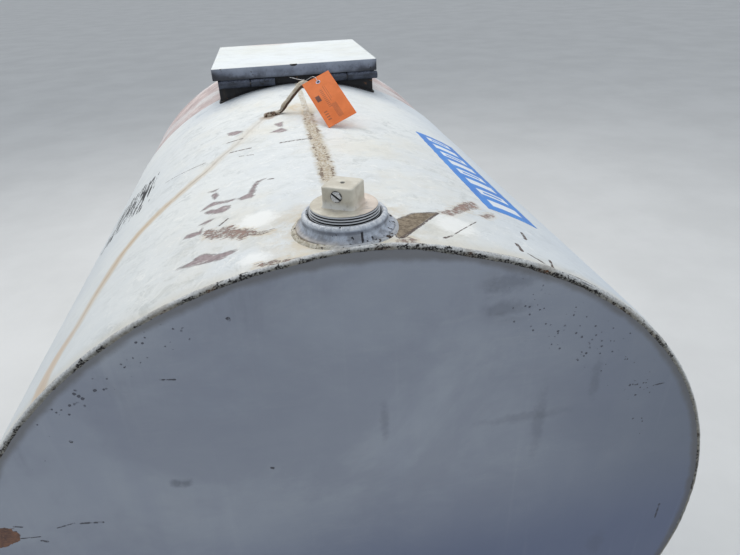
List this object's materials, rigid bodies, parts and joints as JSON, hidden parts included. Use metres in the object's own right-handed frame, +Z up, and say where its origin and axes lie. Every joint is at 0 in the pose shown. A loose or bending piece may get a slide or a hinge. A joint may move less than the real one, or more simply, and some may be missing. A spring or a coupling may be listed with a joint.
{
  "type": "horizontal storage tank",
  "caption": "Round flat-headed steel storage tank on a skid stand, with a square-headed plug, a lifting lug, a hinged hatch lid, a paper tag and a label.",
  "frame": {"origin": "on the floor, under the middle of the tank", "axes": "+X to the right seen from the front head, +Y along the tank from the front head with the bung to the back head by the hatch, +Z up"},
  "size_m": [1.229, 1.552, 1.4709],
  "materials": {
    "shell_paint": "weathered off-white paint with peeled and stained places",
    "head_paint": "matt blue-grey white paint with scuffs and chips",
    "worn_primer": "off-white paint worn to pinkish primer",
    "painted_weld": "painted weld bead with dark chips",
    "rusty_weld": "bare rusty weld bead",
    "flange_paint": "thick grey paint with black chips",
    "plug_paint": "cream paint",
    "screw_steel": "dull zinc",
    "lug_steel": "worn paint over rusty bar",
    "grimy_steel": "grey paint black with oil and dirt",
    "pin_steel": "oily steel",
    "lid_paint": "weathered white paint, grimy round its edges",
    "tag_paper": "orange waterproof card",
    "eyelet_metal": "pressed metal eyelet",
    "tie_wire": "thin galvanised wire",
    "label_vinyl": "faded blue vinyl sheet",
    "stand_paint": "grey paint with rust at its edges"
  },
  "bodies": {
    "tank": {"front_shell": "shell_paint", "front_head": "head_paint", "back_head": "head_paint", "back_shell": "worn_primer", "front_head_weld": "painted_weld", "back_head_weld": "painted_weld", "lap_weld_ring": "painted_weld", "bung_weld": "painted_weld", "top_seam_weld": "rusty_weld", "lug_weld_left": "rusty_weld", "lug_weld_right": "rusty_weld", "bung_flange": "flange_paint", "bung_plug": "plug_paint", "plug_screw": "screw_steel", "lifting_lug": "lug_steel", "hatch_front_wall": "grimy_steel", "hatch_back_wall": "grimy_steel", "hatch_left_wall": "grimy_steel", "hatch_right_wall": "grimy_steel", "hatch_weld": "grimy_steel", "left_box_barrel": "grimy_steel", "right_box_barrel": "grimy_steel", "left_hinge_pin": "pin_steel", "right_hinge_pin": "pin_steel", "paper_tag": "tag_paper", "tag_eyelet": "eyelet_metal", "tag_wire": "tie_wire", "side_label": "label_vinyl", "left_skid": "stand_paint", "right_skid": "stand_paint", "front_saddle": "stand_paint", "back_saddle": "stand_paint", "front_saddle_band": "stand_paint", "back_saddle_band": "stand_paint", "front_gussets": "stand_paint", "back_gussets": "stand_paint"},
    "lid": {"lid": "lid_paint", "left_lid_barrel": "grimy_steel", "right_lid_barrel": "grimy_steel"}
  },
  "joints": [
    {"name": "lid_hinge", "type": "hinge", "parent": "tank", "child": "lid", "pos_m": [0, 0.278, 1.39], "axis": [1, 0, 0], "range_deg": [0, 92]}
  ]
}
